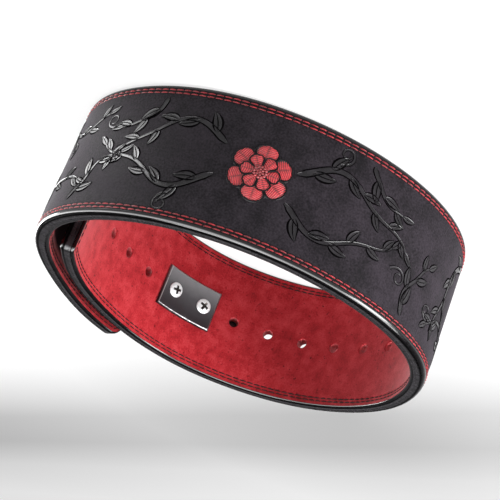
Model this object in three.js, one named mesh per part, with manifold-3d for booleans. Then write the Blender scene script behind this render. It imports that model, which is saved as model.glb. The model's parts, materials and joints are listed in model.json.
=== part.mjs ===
// A lever-fastened lifting belt, lying on its edge and closed into its worn loop.
// One long leather strap starts at its inner end, runs once round the waist and on over itself
// as the tongue. A lever buckle on the outside is screwed through two of the adjusting holes
// into a backing plate inside. Millimetres, +Z up, the origin under the middle of the loop.
import * as THREE from "three";
import { mergeVertices } from "three/addons/utils/BufferGeometryUtils.js";
import Module from "manifold-3d";

const wasm = await Module();
wasm.setup();

// Strap: leather core, cover on the outside, lining on the inside
const strapWidth = 100;
const coreThickness = 6.4;
const coverThickness = 2;
const liningThickness = 2;
const glueGap = 0.3;
const coverEdgeRadius = 2.4;
const liningEdgeRadius = 1.2;
const liningEdgeBevel = 0.4;
const coreEdgeBevel = 0.4;
const edgeSetback = 0.3;
const innerEndCorner = 4;
const tongueCorner = 10;
const sectionStep = 12;

// Loop: the waist it closes round, and how far the tongue stands off the turn beneath it
const waistRadius = 135;
const turnGap = 8;
const innerEndAngle = -8.5;

// Course of the strap's inside face, a row every 20 degrees: reach is the share of the waist
// radius, over is how much of the turn beneath and its gap the strap climbs there.
const strapCourse = [
  { angle: -20, reach: 0.885, over: 0 },
  { angle: 0, reach: 0.815, over: 0 },
  { angle: 20, reach: 0.81, over: 0 },
  { angle: 40, reach: 0.825, over: 0 },
  { angle: 60, reach: 0.895, over: 0 },
  { angle: 80, reach: 0.98, over: 0 },
  { angle: 100, reach: 1.015, over: 0 },
  { angle: 120, reach: 1.035, over: 0 },
  { angle: 140, reach: 1.015, over: 0 },
  { angle: 160, reach: 1.015, over: 0 },
  { angle: 180, reach: 1, over: 0 },
  { angle: 200, reach: 1.015, over: 0 },
  { angle: 220, reach: 0.99, over: 0 },
  { angle: 240, reach: 0.96, over: 0 },
  { angle: 260, reach: 0.945, over: 0 },
  { angle: 280, reach: 0.95, over: 0 },
  { angle: 300, reach: 0.93, over: 0.25 },
  { angle: 320, reach: 0.91, over: 0.5 },
  { angle: 340, reach: 0.865, over: 1 },
  { angle: 360, reach: 0.825, over: 1 },
  { angle: 380, reach: 0.8, over: 1 },
  { angle: 400, reach: 0.85, over: 1 },
  { angle: 420, reach: 0.95, over: 1 },
  { angle: 440, reach: 0.93, over: 1 },
];

// Adjusting holes, one row along the middle, counted from the inner end
const holeCount = 12;
const firstHoleInset = 40.4;
const holePitch = 30.4;
const holeDiameter = 8;
const holeSides = 12;
const nearScrewHole = 5;
const tongueHoleInset = 28;

// Backing plate on the lining
const plateThickness = 3;
const plateWidth = 34;
const plateMargin = 12;
const plateBevel = 1.2;
const plateEndBevel = 0.2;

// Screws: pan heads on the plate, shanks through the strap into the buckle
const screwHeadDiameter = 12;
const screwHeadHeight = 2.6;
const screwRimHeight = 0.6;
const screwShankDiameter = 6;
const screwClearance = 0.4;
const screwGrip = 3;
const crossLength = 7;
const crossWidth = 1.5;
const crossDepth = 1.4;

// Lever buckle, one plain bent and cast piece
const buckleWidth = 62;
const buckleMargin = 15;
const buckleTail = 36;
const buckleHeel = 5;
const bucklePlateThickness = 3.5;
const buckleHookReach = 44;
const buckleCorner = 9;
const buckleStep = 8;
const tipClearance = 3;
const hookPinDiameter = 5.5;
const hookPinPastLining = 2;

// Embroidered blossom on the cover
const blossomAngle = 275;
const blossomRadius = 21;
const blossomHeight = 1;
const blossomPetals = 6;
const blossomNotch = 0.2;
const blossomStep = 5;

// Clear gap kept between pieces that rest on each other
const seatGap = 0.3;

const coreInside = liningThickness + glueGap;
const coreOutside = coreInside + coreThickness;
const coverInside = coreOutside + glueGap;
const strapThickness = coverInside + coverThickness;
const middleHeight = strapWidth / 2;
const screwBoreDiameter = screwShankDiameter + 2 * screwClearance;

// Course of the strap
const rowStep = strapCourse[1].angle - strapCourse[0].angle;
const lastAngle = strapCourse[strapCourse.length - 1].angle;

function rowRadius(index) {
  const row = strapCourse[THREE.MathUtils.clamp(index, 0, strapCourse.length - 1)];
  return waistRadius * row.reach + row.over * (strapThickness + turnGap);
}

// Radius of the strap's middle, a cubic B-spline drawn towards the rows
function middleRadius(angle) {
  const place = (angle - strapCourse[0].angle) / rowStep;
  const row = Math.floor(place);
  const t = place - row;
  const pulls = [(1 - t) ** 3, 3 * t ** 3 - 6 * t ** 2 + 4, -3 * t ** 3 + 3 * t ** 2 + 3 * t + 1, t ** 3];
  const inside = pulls.reduce((sum, pull, k) => sum + (pull / 6) * rowRadius(row - 1 + k), 0);
  return inside + strapThickness / 2;
}

function makeStrapLine() {
  const points = [];
  const steps = Math.round((lastAngle - innerEndAngle) / 2);
  for (let k = 0; k <= steps; k += 1) {
    const angle = THREE.MathUtils.lerp(innerEndAngle, lastAngle, k / steps);
    const radius = middleRadius(angle);
    const turn = THREE.MathUtils.degToRad(angle);
    points.push(new THREE.Vector3(radius * Math.cos(turn), radius * Math.sin(turn), 0));
  }
  const line = new THREE.CatmullRomCurve3(points);
  line.arcLengthDivisions = 4000;
  return line;
}

const strapLine = makeStrapLine();
const lineLength = strapLine.getLength();

function distanceAt(angle) {
  const lengths = strapLine.getLengths();
  const place = ((angle - innerEndAngle) / (lastAngle - innerEndAngle)) * (lengths.length - 1);
  const k = Math.min(Math.floor(place), lengths.length - 2);
  return THREE.MathUtils.lerp(lengths[k], lengths[k + 1], place - k);
}

function angleAt(distance) {
  const t = strapLine.getUtoTmapping(distance / lineLength);
  return THREE.MathUtils.lerp(innerEndAngle, lastAngle, t);
}

// A point on the strap: distance from the inner end, height outward from the lining, height up
function onStrap(distance, out, up) {
  const along = strapLine.getTangentAt(distance / lineLength);
  const outward = new THREE.Vector3(along.y, -along.x, 0);
  const point = strapLine.getPointAt(distance / lineLength);
  point.addScaledVector(outward, out - strapThickness / 2);
  point.z = up;
  return point;
}

// Places shapes drawn as x along the strap, y up and z outward at a point of the strap
function strapFrame(distance, out, up) {
  const along = strapLine.getTangentAt(distance / lineLength);
  const upward = new THREE.Vector3(0, 0, 1);
  const outward = new THREE.Vector3(along.y, -along.x, 0);
  return new THREE.Matrix4().makeBasis(along, upward, outward).setPosition(onStrap(distance, out, up));
}

// Where each fitting sits along the strap
function holeDistance(number) {
  return firstHoleInset + (number - 1) * holePitch;
}

const screwDistances = [holeDistance(nearScrewHole), holeDistance(nearScrewHole + 1)];
const buckleStart = screwDistances[0] - buckleMargin;
const buckleEnd = screwDistances[1] + buckleTail;
const overTip = distanceAt(angleAt(buckleStart) + 360);
const strapLength = overTip - tipClearance;
const tongueHoleDistance = strapLength - tongueHoleInset;

// Solids
function solidOf(geometry) {
  const bare = new THREE.BufferGeometry();
  bare.setAttribute("position", geometry.getAttribute("position"));
  bare.setIndex(geometry.getIndex());
  const merged = mergeVertices(bare, 0.0001);
  const vertProperties = Float32Array.from(merged.getAttribute("position").array);
  const triVerts = Uint32Array.from(merged.getIndex().array);
  return new wasm.Manifold(new wasm.Mesh({ numProp: 3, vertProperties, triVerts }));
}

function geometryOf(solid) {
  const mesh = solid.getMesh();
  const geometry = new THREE.BufferGeometry();
  geometry.setAttribute("position", new THREE.BufferAttribute(mesh.vertProperties, 3));
  geometry.setIndex(new THREE.BufferAttribute(mesh.triVerts, 1));
  geometry.computeVertexNormals();
  return geometry;
}

// A closed skin through rings of equally many points, with both ends capped
function loft(rings) {
  const count = rings[0].length;
  const last = (rings.length - 1) * count;
  const faces = [];
  for (let ring = 0; ring < rings.length - 1; ring += 1) {
    for (let k = 0; k < count; k += 1) {
      const a = ring * count + k;
      const b = ring * count + ((k + 1) % count);
      faces.push(a, a + count, b, b, a + count, b + count);
    }
  }
  for (let k = 1; k < count - 1; k += 1) {
    faces.push(0, k, k + 1, last, last + k + 1, last + k);
  }
  const coordinates = rings.flat().flatMap((point) => point.toArray());
  const geometry = new THREE.BufferGeometry();
  geometry.setAttribute("position", new THREE.Float32BufferAttribute(coordinates, 3));
  geometry.setIndex(faces);
  return geometry;
}

// Even steps between two distances, none longer than the step
function evenSteps(from, to, step) {
  const count = Math.ceil((to - from) / step);
  return Array.from({ length: count + 1 }, (_, k) => THREE.MathUtils.lerp(from, to, k / count));
}

// A round rod or bore square to the strap
function rodOnStrap(distance, up, outFrom, outTo, diameter, sides) {
  const rod = new THREE.CylinderGeometry(diameter / 2, diameter / 2, outTo - outFrom, sides);
  rod.rotateX(Math.PI / 2);
  rod.applyMatrix4(strapFrame(distance, (outFrom + outTo) / 2, up));
  return solidOf(rod);
}

// A prism square to the strap, from an outline drawn along and up the strap
function prismOnStrap(outline, distance, outFrom, outTo) {
  const depth = outTo - outFrom;
  const prism = new THREE.ExtrudeGeometry(new THREE.Shape(outline), { depth, bevelEnabled: false });
  prism.applyMatrix4(strapFrame(distance, outFrom, middleHeight));
  return solidOf(prism);
}

// Strap layers: a ring of points across the strap, swept from end to end and drilled
const cornerSteps = [0, 15, 35, 60, 90];

function cornerRise(fromEnd, radius) {
  const left = Math.max(0, radius - fromEnd);
  return radius - Math.sqrt(radius ** 2 - left ** 2);
}

function layerDistances(setback) {
  const start = setback;
  const end = strapLength - setback;
  const spread = (radius) => cornerSteps.map((step) => {
    const turn = THREE.MathUtils.degToRad(step);
    return radius * (1 - Math.cos(turn));
  });
  const startCorner = spread(innerEndCorner).map((run) => start + run);
  const endCorner = spread(tongueCorner).map((run) => end - run).reverse();
  const between = evenSteps(start + innerEndCorner, end - tongueCorner, sectionStep).slice(1, -1);
  return [...startCorner, ...between, ...endCorner];
}

function strapLayer(section, setback) {
  const rings = layerDistances(setback).map((distance) => {
    const startRise = cornerRise(distance - setback, innerEndCorner);
    const endRise = cornerRise(strapLength - setback - distance, tongueCorner);
    const squeeze = 1 - Math.max(startRise, endRise) / middleHeight;
    return section.map(([out, up]) => onStrap(distance, out, middleHeight + (up - middleHeight) * squeeze));
  });
  return solidOf(loft(rings));
}

function drillHoles(layer) {
  const distances = Array.from({ length: holeCount }, (_, k) => holeDistance(k + 1));
  const bores = [...distances, tongueHoleDistance].map((distance) => (
    rodOnStrap(distance, middleHeight, -strapThickness, 2 * strapThickness, holeDiameter, holeSides)
  ));
  return bores.reduce((drilled, bore) => drilled.subtract(bore), layer);
}

// Lower half of a section, mirrored to give the whole ring anticlockwise from the inside face
function mirroredSection(lowerHalf) {
  const upperHalf = lowerHalf.map(([out, up]) => [out, strapWidth - up]).reverse();
  return [...lowerHalf, ...upperHalf];
}

function makeCore() {
  const section = mirroredSection([
    [coreInside, coreEdgeBevel],
    [coreInside + coreEdgeBevel, 0],
    [coreOutside - coreEdgeBevel, 0],
    [coreOutside, coreEdgeBevel],
  ]);
  return geometryOf(drillHoles(strapLayer(section, 0)));
}

function makeCover() {
  const roundTo = (turn) => {
    const angle = THREE.MathUtils.degToRad(turn);
    const out = strapThickness - coverEdgeRadius * (1 - Math.sin(angle));
    const up = edgeSetback + coverEdgeRadius * (1 - Math.cos(angle));
    return [out, up];
  };
  const section = mirroredSection([[coverInside, edgeSetback], roundTo(30), roundTo(60), roundTo(90)]);
  return geometryOf(drillHoles(strapLayer(section, edgeSetback)));
}

function makeLining() {
  const section = mirroredSection([
    [0, edgeSetback + liningEdgeRadius],
    [liningEdgeBevel, edgeSetback + liningEdgeBevel],
    [liningEdgeRadius, edgeSetback],
    [liningThickness, edgeSetback],
  ]);
  return geometryOf(drillHoles(strapLayer(section, edgeSetback)));
}

// Embroidered blossom: a curved pad cut to the outline of its petals
function makeBlossom() {
  const distance = distanceAt(blossomAngle);
  const foot = strapThickness + seatGap;
  const reach = 1.1 * blossomRadius;
  const ring = [
    [foot, middleHeight - reach],
    [foot + blossomHeight, middleHeight - reach],
    [foot + blossomHeight, middleHeight + reach],
    [foot, middleHeight + reach],
  ];
  const pad = evenSteps(distance - reach, distance + reach, blossomStep).map((place) => (
    ring.map(([out, up]) => onStrap(place, out, up))
  ));
  const outline = Array.from({ length: blossomPetals * 10 }, (_, k) => {
    const turn = (k / (blossomPetals * 10)) * 2 * Math.PI;
    const radius = blossomRadius * (1 - blossomNotch * (1 - Math.abs(Math.cos((turn * blossomPetals) / 2))));
    return new THREE.Vector2(radius * Math.sin(turn), radius * Math.cos(turn));
  });
  const cutter = prismOnStrap(outline, distance, 0, 2 * strapThickness);
  return geometryOf(solidOf(loft(pad)).intersect(cutter));
}

// Backing plate: bent to the lining, its face bevelled on all four sides
function makePlate() {
  const start = screwDistances[0] - plateMargin;
  const end = screwDistances[1] + plateMargin;
  const low = middleHeight - plateWidth / 2;
  const high = middleHeight + plateWidth / 2;
  const face = -seatGap - plateThickness;
  const inner = evenSteps(start + plateBevel, end - plateBevel, sectionStep / 2);
  const rings = [start, ...inner, end].map((distance) => {
    const atEnd = distance === start || distance === end;
    const cut = atEnd ? plateEndBevel : plateBevel;
    return [
      [-seatGap, low],
      [-seatGap, high],
      [face + plateBevel, high],
      [face + plateBevel - cut, high - cut],
      [face + plateBevel - cut, low + cut],
      [face + plateBevel, low],
    ].map(([out, up]) => onStrap(distance, out, up));
  });
  const bores = screwDistances.map((distance) => (
    rodOnStrap(distance, middleHeight, -2 * plateThickness, 0, screwBoreDiameter, holeSides)
  ));
  return geometryOf(bores.reduce((plate, bore) => plate.subtract(bore), solidOf(loft(rings))));
}

// Screw: a pan head with a cross recess, turned with its shank about one axis
function makeScrew(distance) {
  const seat = -plateThickness - 2 * seatGap;
  const rim = seat - screwRimHeight;
  const top = seat - screwHeadHeight;
  const tip = strapThickness + seatGap + screwGrip;
  const headRadius = screwHeadDiameter / 2;
  const dome = [90, 60, 35, 15].map((turn) => {
    const angle = THREE.MathUtils.degToRad(turn);
    return new THREE.Vector2(headRadius * Math.sin(angle), rim + (top - rim) * Math.cos(angle));
  });
  const profile = [
    new THREE.Vector2(0, top),
    ...dome.reverse(),
    new THREE.Vector2(headRadius, seat),
    new THREE.Vector2(screwShankDiameter / 2, seat),
    new THREE.Vector2(screwShankDiameter / 2, tip),
    new THREE.Vector2(0, tip),
  ];
  const turned = new THREE.LatheGeometry(profile, 20);
  turned.rotateX(Math.PI / 2);
  const bars = [[crossLength, crossWidth], [crossWidth, crossLength]].map(([across, high]) => {
    const bar = new THREE.BoxGeometry(across, high, 2 * crossDepth);
    bar.translate(0, 0, top);
    return solidOf(bar);
  });
  const cut = bars.reduce((screw, bar) => screw.subtract(bar), solidOf(turned));
  const geometry = geometryOf(cut);
  geometry.applyMatrix4(strapFrame(distance, 0, middleHeight));
  return geometry;
}

// Lever buckle: a base on the turn beneath, rising past the tongue's tip to a plate over the
// tongue, whose pin drops through the tongue's hole
function makeBuckle() {
  const base = strapThickness + seatGap;
  const plateTop = base + bucklePlateThickness;
  const flat = (distance, out) => {
    const point = onStrap(distance, out, 0);
    return new THREE.Vector2(point.x, point.y);
  };
  const hookEnd = strapLength - buckleHookReach;
  const heelTop = flat(buckleEnd, base + buckleHeel);
  const plateBack = flat(overTip, plateTop);
  const handle = heelTop.distanceTo(plateBack) * 0.4;
  const heelAlong = strapLine.getTangentAt(buckleEnd / lineLength);
  const plateAlong = strapLine.getTangentAt(overTip / lineLength);
  const slope = new THREE.CubicBezierCurve(
    heelTop,
    new THREE.Vector2(heelTop.x - heelAlong.x * handle, heelTop.y - heelAlong.y * handle),
    new THREE.Vector2(plateBack.x + plateAlong.x * handle, plateBack.y + plateAlong.y * handle),
    plateBack,
  );
  const outline = [
    ...evenSteps(buckleStart, buckleEnd, buckleStep).map((distance) => flat(distance, base)),
    ...slope.getPoints(8),
    ...evenSteps(hookEnd, overTip, buckleStep).reverse().slice(1).map((distance) => flat(distance, plateTop)),
    ...evenSteps(hookEnd, overTip, buckleStep).map((distance) => flat(distance, base)),
  ];
  const side = new THREE.Shape(outline);
  const body = new THREE.ExtrudeGeometry(side, { depth: buckleWidth, bevelEnabled: false });
  body.translate(0, 0, middleHeight - buckleWidth / 2);

  const hookTip = flat(hookEnd, plateTop);
  const span = heelTop.clone().sub(hookTip);
  const rounded = new THREE.Shape(roundedRectangle(span.length(), buckleWidth, buckleCorner));
  const trimmer = new THREE.ExtrudeGeometry(rounded, { depth: 2 * buckleWidth, bevelEnabled: false });
  trimmer.translate(0, 0, -buckleWidth);
  const lengthways = new THREE.Vector3(span.x, span.y, 0).normalize();
  const upward = new THREE.Vector3(0, 0, 1);
  const middle = hookTip.clone().addScaledVector(span, 0.5);
  trimmer.applyMatrix4(new THREE.Matrix4()
    .makeBasis(lengthways, upward, lengthways.clone().cross(upward))
    .setPosition(middle.x, middle.y, middleHeight));
  const pinRoot = base + bucklePlateThickness / 2;
  const pinTip = -hookPinPastLining;
  const pin = rodOnStrap(tongueHoleDistance, middleHeight, pinTip, pinRoot, hookPinDiameter, holeSides);
  const bores = screwDistances.map((distance) => {
    const tip = strapThickness + seatGap + screwGrip + seatGap;
    return rodOnStrap(distance, middleHeight, 0, tip, screwBoreDiameter, holeSides);
  });
  const whole = solidOf(body).intersect(solidOf(trimmer)).add(pin);
  return geometryOf(bores.reduce((buckle, bore) => buckle.subtract(bore), whole));
}

function roundedRectangle(length, height, corner) {
  const centres = [[1, 1, 0], [-1, 1, 90], [-1, -1, 180], [1, -1, 270]];
  return centres.flatMap(([x, y, from]) => [0, 22.5, 45, 67.5, 90].map((turn) => {
    const angle = THREE.MathUtils.degToRad(from + turn);
    return new THREE.Vector2(
      x * (length / 2 - corner) + corner * Math.cos(angle),
      y * (height / 2 - corner) + corner * Math.sin(angle),
    );
  }));
}

// Finishes
const paintedLeather = new THREE.MeshStandardMaterial({ color: 0x0c0b0c, roughness: 0.3, metalness: 0 });
const charcoalSuede = new THREE.MeshStandardMaterial({ color: 0x2a272a, roughness: 0.9, metalness: 0 });
const redSuede = new THREE.MeshStandardMaterial({ color: 0xb3171f, roughness: 0.95, metalness: 0 });
const redThread = new THREE.MeshStandardMaterial({ color: 0xa5141c, roughness: 0.5, metalness: 0 });
const blackSteel = new THREE.MeshStandardMaterial({ color: 0x151517, roughness: 0.35, metalness: 0.8 });
const brightSteel = new THREE.MeshStandardMaterial({ color: 0xc9cbce, roughness: 0.25, metalness: 1 });

// Assembly
const belt = new THREE.Group();

function addPiece(name, geometry, material) {
  const piece = new THREE.Mesh(geometry, material);
  piece.name = name;
  belt.add(piece);
}

addPiece("core", makeCore(), paintedLeather);
addPiece("outer_cover", makeCover(), charcoalSuede);
addPiece("lining", makeLining(), redSuede);
addPiece("blossom_emblem", makeBlossom(), redThread);
addPiece("backing_plate", makePlate(), blackSteel);
screwDistances.forEach((distance, k) => addPiece(`screw_${k + 1}`, makeScrew(distance), brightSteel));
addPiece("lever_buckle", makeBuckle(), blackSteel);

// The origin lies under the middle of the loop, buckle included
const extent = new THREE.Box3().setFromObject(belt);
const middleOfLoop = extent.getCenter(new THREE.Vector3());
belt.position.set(-middleOfLoop.x, -middleOfLoop.y, 0);

export default belt;
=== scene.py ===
# A lever-fastened lifting belt standing on its edge, dressed over the frame of its solid pieces.
# Metres, +Z up. A place on the strap is given along it from its inner end, out from the lining's
# face, and up from its low edge.
import json
import math

import bmesh
import bpy
import numpy as np
from mathutils import Matrix, Vector
from mathutils.geometry import delaunay_2d_cdt

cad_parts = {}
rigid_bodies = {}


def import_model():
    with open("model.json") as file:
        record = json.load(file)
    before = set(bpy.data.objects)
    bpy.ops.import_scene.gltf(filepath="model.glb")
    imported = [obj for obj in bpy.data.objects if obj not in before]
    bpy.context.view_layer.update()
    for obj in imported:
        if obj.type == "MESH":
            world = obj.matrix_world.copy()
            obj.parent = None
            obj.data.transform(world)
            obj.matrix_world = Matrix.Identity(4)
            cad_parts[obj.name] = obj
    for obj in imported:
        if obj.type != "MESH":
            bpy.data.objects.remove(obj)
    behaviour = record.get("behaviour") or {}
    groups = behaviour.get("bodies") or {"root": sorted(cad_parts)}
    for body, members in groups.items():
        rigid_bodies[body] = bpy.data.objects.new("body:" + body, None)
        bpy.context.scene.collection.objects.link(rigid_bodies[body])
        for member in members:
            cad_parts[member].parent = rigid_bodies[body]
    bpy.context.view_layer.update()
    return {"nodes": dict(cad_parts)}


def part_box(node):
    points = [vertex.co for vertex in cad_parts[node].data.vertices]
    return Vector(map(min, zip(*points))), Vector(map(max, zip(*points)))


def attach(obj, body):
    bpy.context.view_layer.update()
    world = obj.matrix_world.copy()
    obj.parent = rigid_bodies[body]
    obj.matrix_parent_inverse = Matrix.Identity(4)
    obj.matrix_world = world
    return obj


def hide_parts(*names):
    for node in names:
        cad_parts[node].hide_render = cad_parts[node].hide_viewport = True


for startup_object in list(bpy.data.objects):
    bpy.data.objects.remove(startup_object)
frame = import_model()

# Strap core
# The thick leather strap that carries the belt, once round the waist and on over itself as the
# tongue. It is punched with one row of holes, and its raw edges are dyed, creased along the
# middle and coated with edge paint, which wrinkles at the bends. Next to the cover and the
# lining the edge paint is coloured black and dull, a painted shade between the layers; in the
# wrinkles it is darker in the hollows and lighter on the ridges, a painted shade of the ribs.
mm = 0.001
strap_width = 100 * mm
strap_thickness = 11 * mm
inner_corner = 4 * mm
tongue_corner = 10 * mm
core_inside = 2.15 * mm
core_outside = 8.85 * mm
hole_radius = 4 * mm
hole_count = 12
first_hole = 40.4 * mm
hole_pitch = 30.4 * mm
tongue_hole_inset = 28 * mm
outline_step = 2.4 * mm


def read_strap_line():
    """The strap's middle line from the core's low edge: points from above, one at each section."""
    mesh = frame["nodes"]["core"].data
    corners = np.empty(len(mesh.vertices) * 3)
    mesh.vertices.foreach_get("co", corners)
    corners = corners.reshape(-1, 3)
    low_edge = []
    for corner in corners[corners[:, 2] < 0.01 * mm][:, :2]:
        if all(np.hypot(*(corner - seen)) > 0.05 * mm for seen in low_edge):
            low_edge.append(corner)
    low_edge = np.array(low_edge)
    apart = np.hypot(*(low_edge[:, None] - low_edge[None]).transpose(2, 0, 1))
    np.fill_diagonal(apart, 1)
    partner = apart.argmin(axis=1)
    middles = [
        (low_edge[k] + low_edge[other]) / 2
        for k, other in enumerate(partner) if k < other
    ]

    def walk(first):
        left = list(range(len(middles)))
        path = [left.pop(first)]
        while left:
            gaps = [np.hypot(*(middles[k] - middles[path[-1]])) for k in left]
            if min(gaps) > 1.4 * sections_apart:
                break
            path.append(left.pop(int(np.argmin(gaps))))
        return path

    sections_apart = 12 * mm
    from_an_end = walk(walk(0)[-1])
    line = np.array([middles[k] for k in from_an_end])
    centre = line.mean(axis=0)
    if np.hypot(*(line[0] - centre)) > np.hypot(*(line[-1] - centre)):
        line = line[::-1]
    return line


def beyond(one, two, three):
    """The next point of an even, steadily bending row of points."""
    return 3 * one - 3 * two + three


section_points = read_strap_line()
for _ in range(2):
    before = beyond(section_points[0], section_points[1], section_points[2])
    after = beyond(section_points[-1], section_points[-2], section_points[-3])
    section_points = np.vstack([before, section_points, after])

fine_steps = 24
part_way = np.arange(fine_steps)[:, None] / fine_steps
pieces_of_line = []
for k in range(1, len(section_points) - 2):
    before, start, end, after = section_points[k - 1:k + 3]
    pieces_of_line.append(0.5 * (
        2 * start + (end - before) * part_way
        + (2 * before - 5 * start + 4 * end - after) * part_way ** 2
        + (3 * start - before - 3 * end + after) * part_way ** 3
    ))
line_points = np.vstack(pieces_of_line)
line_along = np.concatenate([[0], np.cumsum(np.hypot(*np.diff(line_points, axis=0).T))])
line_along += inner_corner - line_along[fine_steps]
strap_length = line_along[-fine_steps] + tongue_corner
line_heading = np.gradient(line_points, line_along, axis=0)
line_heading /= np.hypot(*line_heading.T)[:, None]


def on_strap(along, out, up):
    """Points of the row frame for places on the strap."""
    along, out, up = np.broadcast_arrays(along, out, up)
    heading_x = np.interp(along, line_along, line_heading[:, 0])
    heading_y = np.interp(along, line_along, line_heading[:, 1])
    offset = out - strap_thickness / 2
    return np.stack([
        np.interp(along, line_along, line_points[:, 0]) + heading_y * offset,
        np.interp(along, line_along, line_points[:, 1]) - heading_x * offset,
        up,
    ], axis=-1)


hole_places = [first_hole + k * hole_pitch for k in range(hole_count)]
hole_places.append(strap_length - tongue_hole_inset)


def outline(inset, spread=0.0):
    """The strap's flat outline moved inward, as places along and up, with more points at corners.

    spread moves the points on outward from there, square to the outline.
    """
    corners = [
        (strap_length, 0, tongue_corner, -90),
        (strap_length, strap_width, tongue_corner, 0),
        (0, strap_width, inner_corner, 90),
        (0, 0, inner_corner, 180),
    ]
    arcs = []
    for along, up, corner_radius, first_turn in corners:
        radius = max(corner_radius - inset, 1 * mm)
        middle_along = along - math.copysign(inset + radius, along - strap_length / 2)
        middle_up = up - math.copysign(inset + radius, up - strap_width / 2)
        turns = np.radians(first_turn + np.linspace(0, 90, 9))
        arcs.append(np.column_stack([
            middle_along + (radius + spread) * np.cos(turns),
            middle_up + (radius + spread) * np.sin(turns),
        ]))
    points = []
    for k, arc in enumerate(arcs):
        points.append(arc)
        ahead = arcs[(k + 1) % 4][0]
        straight = strap_width if k % 2 == 0 else strap_length
        count = int(straight / outline_step)
        points.append(arc[-1] + (ahead - arc[-1]) * (np.arange(1, count) / count)[:, None])
    return np.vstack(points)


def hole_ring(place, radius):
    turns = np.radians(np.arange(0, 360, 15))
    return np.column_stack([place + radius * np.cos(turns), strap_width / 2 + radius * np.sin(turns)])


def add_object(name, data):
    thing = bpy.data.objects.new(name, data)
    bpy.context.scene.collection.objects.link(thing)
    return thing


def shade_smooth(mesh, sharp):
    mesh.polygons.foreach_set("use_smooth", [True] * len(mesh.polygons))
    mesh.set_sharp_from_angle(angle=math.radians(sharp))


def make_piece(name, points, faces, finishes, face_finishes=None, flat=None, sharp=50):
    """A shown piece as one smooth mesh with its faces turned outward."""
    mesh = bpy.data.meshes.new(name)
    mesh.from_pydata([tuple(point) for point in points], [], faces)
    for finish in finishes:
        mesh.materials.append(finish)
    if face_finishes is not None:
        mesh.polygons.foreach_set("material_index", face_finishes)
    if flat is not None:
        owners = np.empty(len(mesh.loops), dtype=np.int32)
        mesh.loops.foreach_get("vertex_index", owners)
        mesh.uv_layers.new(name="flat").data.foreach_set("uv", np.asarray(flat)[owners].ravel())
    shell = bmesh.new()
    shell.from_mesh(mesh)
    bmesh.ops.recalc_face_normals(shell, faces=shell.faces)
    shell.to_mesh(mesh)
    shell.free()
    shade_smooth(mesh, sharp)
    return add_object(name, mesh)


def make_layer(name, face_rows, rim_rows, back_out, hole_rows, finishes, painted_inset, seam_inset=0.0):
    """One layer of the strap, closed round its edges and holes.

    face_rows: (inset, out) of each row of points on the shown face, from the edge inward.
    rim_rows: (out, spread) of each row between the shown face and the hidden one.
    hole_rows: (widening, out) of each row round a hole on the shown face, from its wall outward.
    finishes: the face's, the painted edge's, the hole wall's and that of the band that is sewn.
    The paint reaches in to the painted inset, and the sewn band to the seam inset.
    """
    places = []
    faces = []
    face_finishes = []

    def add_row(flat_points, out):
        first = len(places)
        places.extend((along, out, up) for along, up in flat_points)
        return list(range(first, len(places)))

    def join_rows(one, two, finish):
        for k in range(len(one)):
            ahead = (k + 1) % len(one)
            faces.append((one[k], one[ahead], two[ahead], two[k]))
            face_finishes.append(finish)

    def fill(rows, extra_points, out):
        """Triangles inside the first row of points and outside the rows round the holes."""
        owners = [k for row in rows for k in row]
        hole_of = {k: number for number, row in enumerate(rows[1:]) for k in row}
        seams = []
        first = 0
        for row in rows:
            seams += [(first + k, first + (k + 1) % len(row)) for k in range(len(row))]
            first += len(row)
        owners += add_row(extra_points, out)
        flat_points = [Vector((places[k][0] / mm, places[k][2] / mm)) for k in owners]
        made = delaunay_2d_cdt(flat_points, seams, [], 0, 0.0001)
        for triangle in made[2]:
            corners = tuple(owners[made[3][k][0]] for k in triangle)
            holes = {hole_of.get(k) for k in corners}
            if len(holes) > 1 or None in holes:
                faces.append(corners)
                face_finishes.append(0)

    border = face_rows[0][0]
    face_edges = [add_row(outline(inset), out) for inset, out in face_rows]
    for k, (outer, inner) in enumerate(zip(face_edges, face_edges[1:])):
        reached = face_rows[k + 1][0] - 0.01 * mm
        join_rows(outer, inner, 1 if reached <= painted_inset else 3 if reached <= seam_inset else 0)
    rim = [face_edges[0]]
    rim += [add_row(outline(border, spread), out) for out, spread in rim_rows]
    rim.append(add_row(outline(border), back_out))
    for outer, inner in zip(rim, rim[1:]):
        join_rows(outer, inner, 1)
    hole_faces = []
    hole_backs = []
    for place in hole_places:
        rings = [add_row(hole_ring(place, hole_radius + widen), out) for widen, out in hole_rows]
        for outer, inner in zip(rings, rings[1:]):
            join_rows(outer, inner, 0)
        hole_faces.append(rings[-1])
        hole_backs.append(add_row(hole_ring(place, hole_radius), back_out))
        join_rows(rings[0], hole_backs[-1], 2)

    stations = np.arange(14 * mm, strap_length - 14 * mm, outline_step)
    heights = np.array([16, 28, 40, 50, 60, 72, 84]) * mm
    spots = np.array([(along, up) for along in stations for up in heights])
    clear = np.ones(len(spots), dtype=bool)
    for place in hole_places:
        clear &= np.hypot(spots[:, 0] - place, spots[:, 1] - strap_width / 2) > hole_radius + 2.4 * mm
    spots = spots[clear]
    fill([face_edges[-1]] + hole_faces, spots, face_rows[-1][1])
    fill([rim[-1]] + hole_backs, spots[np.isin(spots[:, 1], heights[[1, 5]])], back_out)

    places = np.array(places)
    flat = places[:, [0, 2]]
    flat[:, 1] += (strap_thickness - places[:, 1]) * np.sign(flat[:, 1] - strap_width / 2)
    points = on_strap(places[:, 0], places[:, 1], places[:, 2])
    piece = make_piece(name, points, faces, finishes, face_finishes, flat)
    piece.data.attributes.new("depth", "FLOAT", "POINT").data.foreach_set("value", places[:, 1])
    return piece


def put(tree, kind, inputs=None, **settings):
    """Adds a node. Each input is given a number, a colour or another node's socket."""
    node = tree.nodes.new(kind)
    for setting, value in settings.items():
        setattr(node, setting, value)
    for key, value in (inputs or {}).items():
        if isinstance(value, bpy.types.NodeSocket):
            tree.links.new(value, node.inputs[key])
        else:
            node.inputs[key].default_value = value
    return node


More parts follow.
